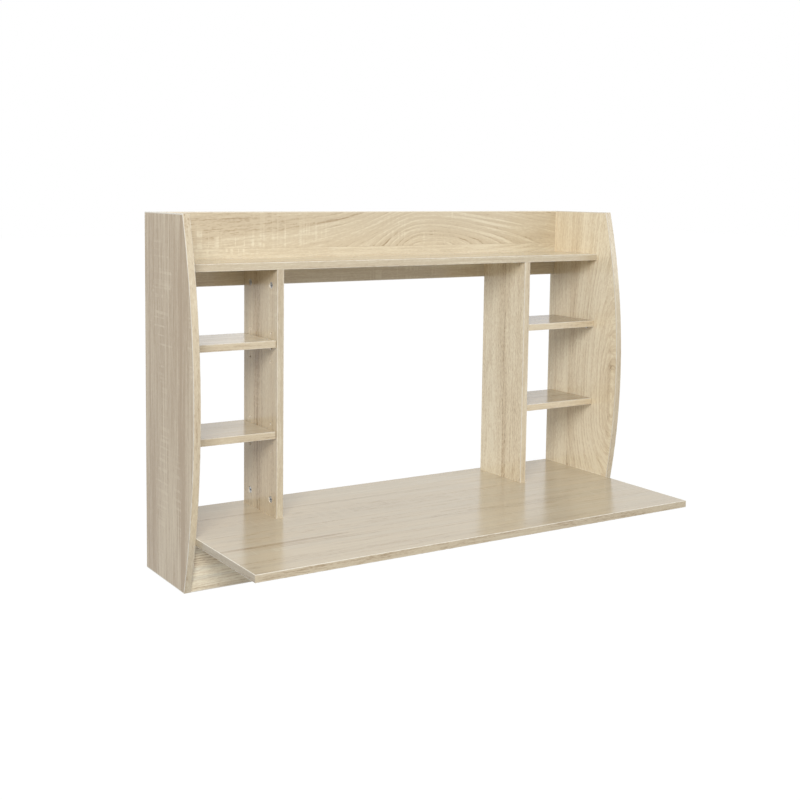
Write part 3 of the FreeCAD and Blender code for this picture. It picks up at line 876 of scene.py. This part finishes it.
class WALLDESK_OT_desktop(bpy.types.Operator):
    """Finish the desktop"""
    bl_idname = "walldesk.desktop"
    bl_label = "Desktop"

    def execute(self, context):
        return finish_boards(DESKTOP, LEVEL)


class WALLDESK_OT_edging(bpy.types.Operator):
    """Finish the printed edging strips"""
    bl_idname = "walldesk.edging"
    bl_label = "Edging strips"

    def execute(self, context):
        seed = STRIP_SEED
        for layout, nodes in STRIPS.items():
            for node, lightness_and_painted_light in nodes.items():
                seed += STRIP_SEED_STEP
                decor = {**STRIP_DECOR, "Seed": seed, "Lightness": lightness_and_painted_light}
                dress(node, strip_material(node, layout, decor))
        return {"FINISHED"}


class WALLDESK_OT_fittings(bpy.types.Operator):
    """Finish the cam locks, bolts, dowels, pegs and hangers"""
    bl_idname = "walldesk.fittings"
    bl_label = "Fittings"

    def execute(self, context):
        settings = context.scene.fitting_settings
        zinc = metal_material("die-cast zinc", settings.zinc, roughness=0.36, grain=700.0, tarnish=0.4,
                              relief=0.00003)
        nickel = metal_material("nickel plate", settings.nickel, roughness=0.22, grain=1200.0,
                                tarnish=0.2, relief=0.00001)
        steel = metal_material("zinc-plated steel", settings.steel, roughness=0.30, grain=500.0,
                               tarnish=0.5, relief=0.00002)
        dress("cam_locks", zinc)
        dress("cam_bolts", zinc)
        dress("shelf_pegs", nickel)
        dress("keyhole_hangers", steel)
        dress("hanger_screws", steel)
        dress("wooden_dowels", beech_material("beech", "wooden_dowels"))
        return {"FINISHED"}


# ---------------------------------------------------------------- stage

CAMERA_PLACE = Vector((-1.4811, -2.3721, UNDERSIDE + 0.8038))
CAMERA_YAW = math.radians(31.11)      # to the right of straight ahead
CAMERA_PITCH = math.radians(5.47)     # below the horizon
CAMERA_ROLL = math.radians(0.55)
CAMERA_LENS = 54.81                   # millimetres, as is the sensor's width
CAMERA_SENSOR = 36.0
CAMERA_SHIFT = (0.06, -0.12)

LAMP_AIM = Vector((0.0, -0.20, -0.30))    # about the middle of the desk
KEY_PLACE = (-1.8, -2.4, 1.3)
KEY_SIZE = (1.4, 1.4)
FILL_PLACE = (1.6, -1.8, 0.8)
FILL_SIZE = (1.2, 1.2)

FLOOR_REACH = 30.0
FLOOR_ROUGHNESS = 0.9
FLOOR_GLOW = 1.33               # brightness of the glow that makes the floor white to the eye
FLOOR_GLOW_SHARE = 0.70         # the glow's share in what is seen; the rest shows the desk's shadow


def add_lamp(name, place, size, watts):
    data = bpy.data.lights.new(name, "AREA")
    data.shape = "RECTANGLE"
    data.size, data.size_y = size
    data.energy = watts
    lamp = bpy.data.objects.new(name, data)
    lamp.location = place
    lamp.rotation_euler = (LAMP_AIM - Vector(place)).to_track_quat("-Z", "Y").to_euler()
    bpy.context.scene.collection.objects.link(lamp)


def seen_white(net):
    """1 where a camera, glossy or transmission ray arrives."""
    path = net.add("ShaderNodeLightPath").outputs
    return net.math("MAXIMUM", path["Is Camera Ray"],
                    net.math("MAXIMUM", path["Is Glossy Ray"], path["Is Transmission Ray"]))


def floor_material(settings):
    """Pale with a glow, and clear when seen from below."""
    material, net, shader = new_material("studio floor", settings.floor)
    net.put(shader.inputs["Base Color"], opaque(settings.floor))
    net.put(shader.inputs["Roughness"], FLOOR_ROUGHNESS)
    glow = net.add("ShaderNodeEmission", {"Color": WHITE, "Strength": FLOOR_GLOW})
    mixed = net.add("ShaderNodeMixShader", {0: net.product(seen_white(net), FLOOR_GLOW_SHARE),
                                            1: shader.outputs[0], 2: glow.outputs[0]})
    below = net.add("ShaderNodeNewGeometry").outputs["Backfacing"]
    nothing = net.add("ShaderNodeBsdfTransparent").outputs[0]
    clear = net.add("ShaderNodeMixShader", {0: below, 1: mixed.outputs[0], 2: nothing})
    net.put(material.node_tree.nodes["Material Output"].inputs["Surface"], clear.outputs[0])
    return material


def add_floor(settings):
    """A floor that keeps the desk's shadow."""
    height = UNDERSIDE - settings.floor_drop
    mesh = bpy.data.meshes.new("floor")
    signs = ((-1, -1), (1, -1), (1, 1), (-1, 1))
    corners = [(x * FLOOR_REACH, y * FLOOR_REACH, height) for x, y in signs]
    mesh.from_pydata(corners, [], [(0, 1, 2, 3)])
    mesh.materials.append(floor_material(settings))
    floor = bpy.data.objects.new("floor", mesh)
    bpy.context.scene.collection.objects.link(floor)


def light_world(settings):
    """A surround that is white to the eye and in reflections, and dimmer where it lights the desk."""
    world = bpy.data.worlds.new("studio")
    world.use_nodes = True
    bpy.context.scene.world = world
    net = Net(world.node_tree)
    background = world.node_tree.nodes["Background"]
    net.put(background.inputs["Color"], WHITE)
    net.put(background.inputs["Strength"], net.between(seen_white(net), settings.sky, 1.0))


def place_camera():
    data = bpy.data.cameras.new("camera")
    data.sensor_width = CAMERA_SENSOR
    data.lens = CAMERA_LENS
    data.shift_x, data.shift_y = CAMERA_SHIFT
    camera = bpy.data.objects.new("camera", data)
    turn = (Matrix.Rotation(-CAMERA_YAW, 4, "Z") @ Matrix.Rotation(math.pi / 2 - CAMERA_PITCH, 4, "X")
            @ Matrix.Rotation(CAMERA_ROLL, 4, "Z"))
    camera.matrix_world = Matrix.Translation(CAMERA_PLACE) @ turn
    bpy.context.scene.collection.objects.link(camera)
    bpy.context.scene.camera = camera


class WALLDESK_OT_stage(bpy.types.Operator):
    """Set up the floor, the surround, the lamps and the camera"""
    bl_idname = "walldesk.stage"
    bl_label = "Stage"

    def execute(self, context):
        settings = context.scene.stage_settings
        context.scene.view_settings.view_transform = "Standard"
        add_floor(settings)
        light_world(settings)
        add_lamp("key", KEY_PLACE, KEY_SIZE, settings.key)
        add_lamp("fill", FILL_PLACE, FILL_SIZE, settings.fill)
        place_camera()
        return {"FINISHED"}


# ---------------------------------------------------------------- add-on

OPERATORS = (WALLDESK_OT_stage, WALLDESK_OT_side_panels, WALLDESK_OT_dividers, WALLDESK_OT_rails,
             WALLDESK_OT_shelves, WALLDESK_OT_desktop, WALLDESK_OT_edging, WALLDESK_OT_fittings)
SETTINGS = {"oak_settings": OakSettings, "fitting_settings": FittingSettings,
            "stage_settings": StageSettings}


class WALLDESK_PT_panel(bpy.types.Panel):
    """Steps and settings of the wall desk"""
    bl_idname = "WALLDESK_PT_panel"
    bl_label = "Wall Desk"
    bl_space_type = "VIEW_3D"
    bl_region_type = "UI"
    bl_category = "Wall Desk"

    def draw(self, context):
        for operator in OPERATORS:
            self.layout.operator(operator.bl_idname)
        for group, kind in SETTINGS.items():
            box = self.layout.box()
            for name in kind.__annotations__:
                box.prop(getattr(context.scene, group), name)


CLASSES = (*SETTINGS.values(), *OPERATORS, WALLDESK_PT_panel)


def register():
    for one in CLASSES:
        bpy.utils.register_class(one)
    for name, kind in SETTINGS.items():
        setattr(bpy.types.Scene, name, bpy.props.PointerProperty(type=kind))


def unregister():
    for name in SETTINGS:
        delattr(bpy.types.Scene, name)
    for one in reversed(CLASSES):
        bpy.utils.unregister_class(one)


def main():
    register()
    bpy.ops.walldesk.stage()
    bpy.ops.walldesk.side_panels()
    bpy.ops.walldesk.dividers()
    bpy.ops.walldesk.rails()
    bpy.ops.walldesk.shelves()
    bpy.ops.walldesk.desktop()
    bpy.ops.walldesk.edging()
    bpy.ops.walldesk.fittings()


if __name__ == "__main__":
    main()
